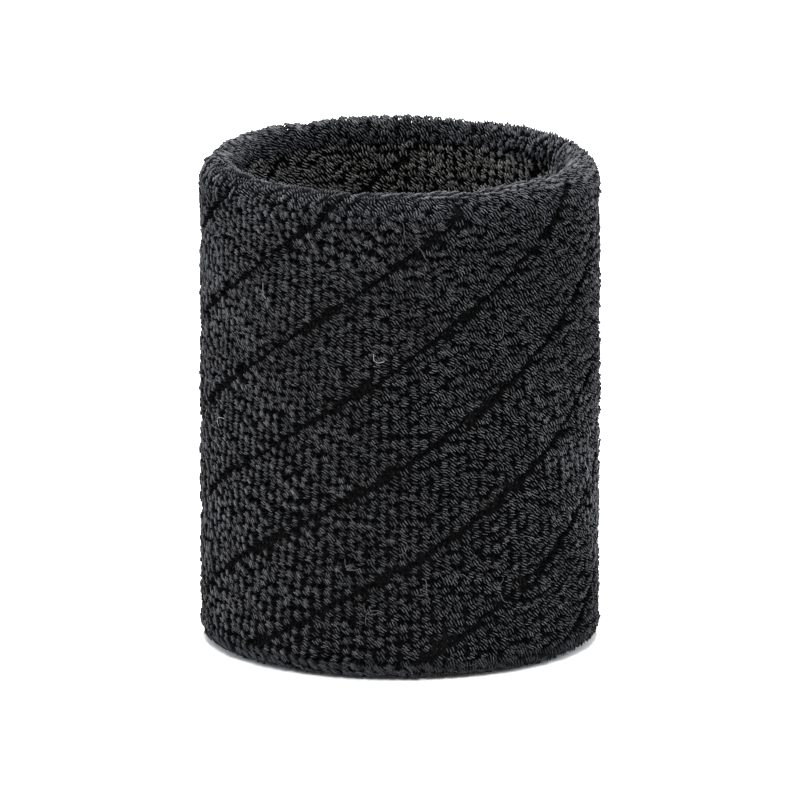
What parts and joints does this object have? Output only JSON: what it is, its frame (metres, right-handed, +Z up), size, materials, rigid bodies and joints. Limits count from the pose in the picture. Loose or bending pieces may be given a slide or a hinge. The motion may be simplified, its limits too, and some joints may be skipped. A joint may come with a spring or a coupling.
{
  "type": "sweat wristband",
  "caption": "Double-layer terry knit wristband with slanting ribs of pile loops, worn round the wrist in racket sports to soak up sweat.",
  "frame": {"origin": "on the band's axis, in the plane that it stands on", "axes": "+Z up along the axis of the wrist opening, -Y the side that is seen first, +X to its right"},
  "size_m": [0.0652, 0.0652, 0.08],
  "materials": {
    "terry_pile": "looped cotton terry, soft and matt",
    "ground_knit": "fine plain knit, matt",
    "elastic_yarn": "rubber core wrapped in fine yarn",
    "seam_thread": "spun thread, matt"
  },
  "bodies": {
    "root": {"ground_knit": "ground_knit", "outer_terry_rib_1": "terry_pile", "outer_terry_rib_2": "terry_pile", "outer_terry_rib_3": "terry_pile", "outer_terry_rib_4": "terry_pile", "outer_terry_rib_5": "terry_pile", "outer_terry_rib_6": "terry_pile", "outer_terry_rib_7": "terry_pile", "outer_terry_rib_8": "terry_pile", "upper_inner_terry_rib_1": "terry_pile", "upper_inner_terry_rib_2": "terry_pile", "upper_inner_terry_rib_3": "terry_pile", "upper_inner_terry_rib_4": "terry_pile", "upper_inner_terry_rib_5": "terry_pile", "upper_inner_terry_rib_6": "terry_pile", "upper_inner_terry_rib_7": "terry_pile", "upper_inner_terry_rib_8": "terry_pile", "lower_inner_terry_rib_1": "terry_pile", "lower_inner_terry_rib_2": "terry_pile", "lower_inner_terry_rib_3": "terry_pile", "lower_inner_terry_rib_4": "terry_pile", "lower_inner_terry_rib_5": "terry_pile", "lower_inner_terry_rib_6": "terry_pile", "lower_inner_terry_rib_7": "terry_pile", "lower_inner_terry_rib_8": "terry_pile", "top_fold_terry": "terry_pile", "bottom_fold_terry": "terry_pile", "outer_elastic_yarn": "elastic_yarn", "upper_inner_elastic_yarn": "elastic_yarn", "lower_inner_elastic_yarn": "elastic_yarn", "closing_seam_stitches": "seam_thread"}
  },
  "joints": []
}
